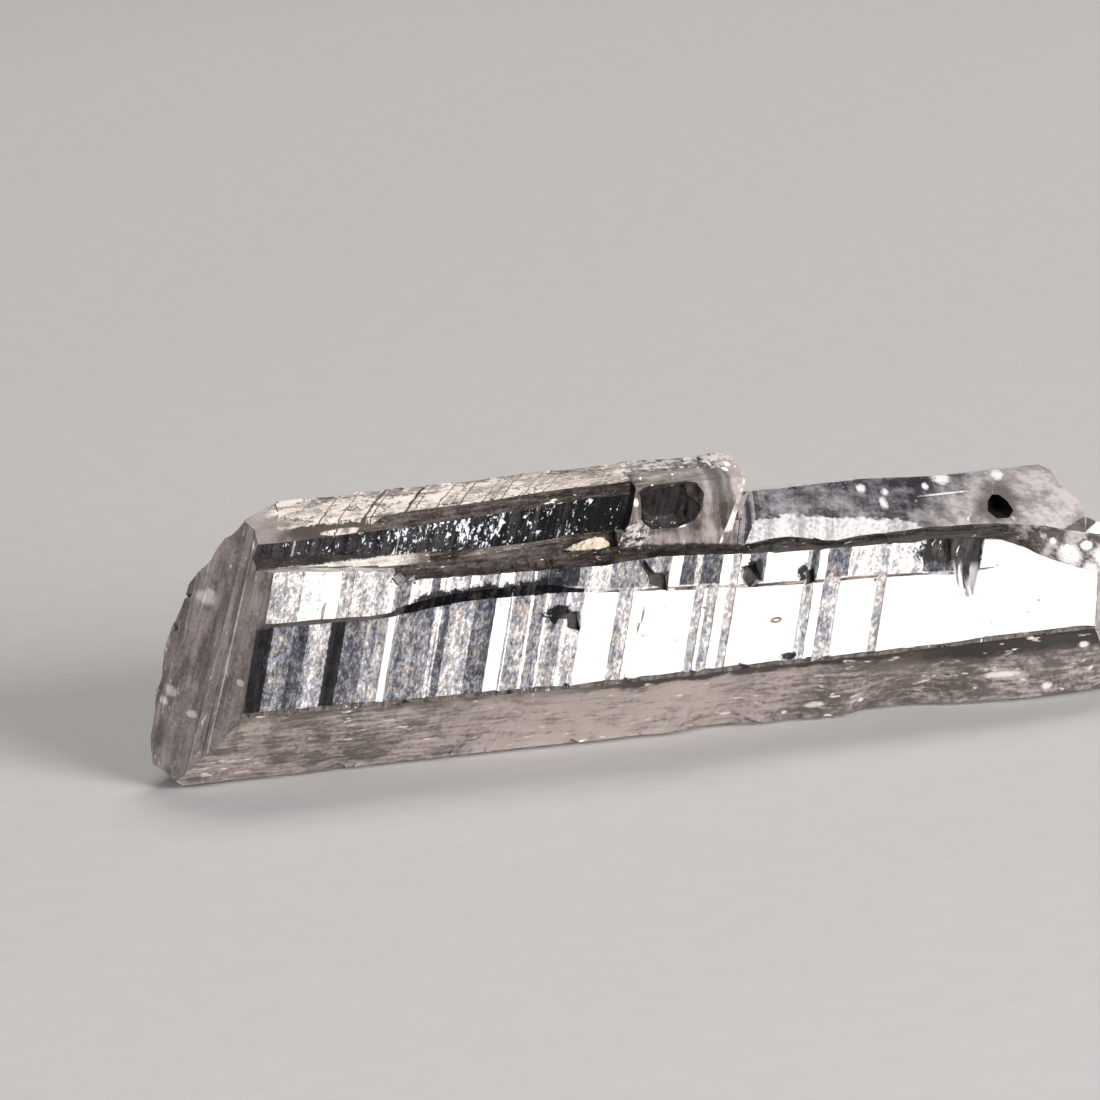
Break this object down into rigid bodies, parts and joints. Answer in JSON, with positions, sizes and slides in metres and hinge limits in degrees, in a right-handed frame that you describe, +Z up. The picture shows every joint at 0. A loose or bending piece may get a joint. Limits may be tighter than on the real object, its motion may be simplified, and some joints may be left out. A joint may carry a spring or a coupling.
{
  "type": "nifontovite crystal",
  "caption": "Clear colourless nifontovite crystal: a striated lath with a shorter parallel crystal on top and a speck of cream matrix.",
  "frame": {"origin": "under the middle of the bounding box, on the surface that the crystal lies on", "axes": "+X along the crystal, from its fluted end to its shell-broken end; +Y away from the broad striated face; +Z up"},
  "size_m": [0.0366, 0.0094, 0.0097],
  "materials": {
    "clear_crystal": "colourless and clear, glassy on the growth faces, frosted on the broken ones",
    "cream_matrix": "dull, fine-grained, cream with a yellow tip"
  },
  "bodies": {
    "root": {"crystal": "clear_crystal", "matrix_grain": "cream_matrix"}
  },
  "joints": []
}
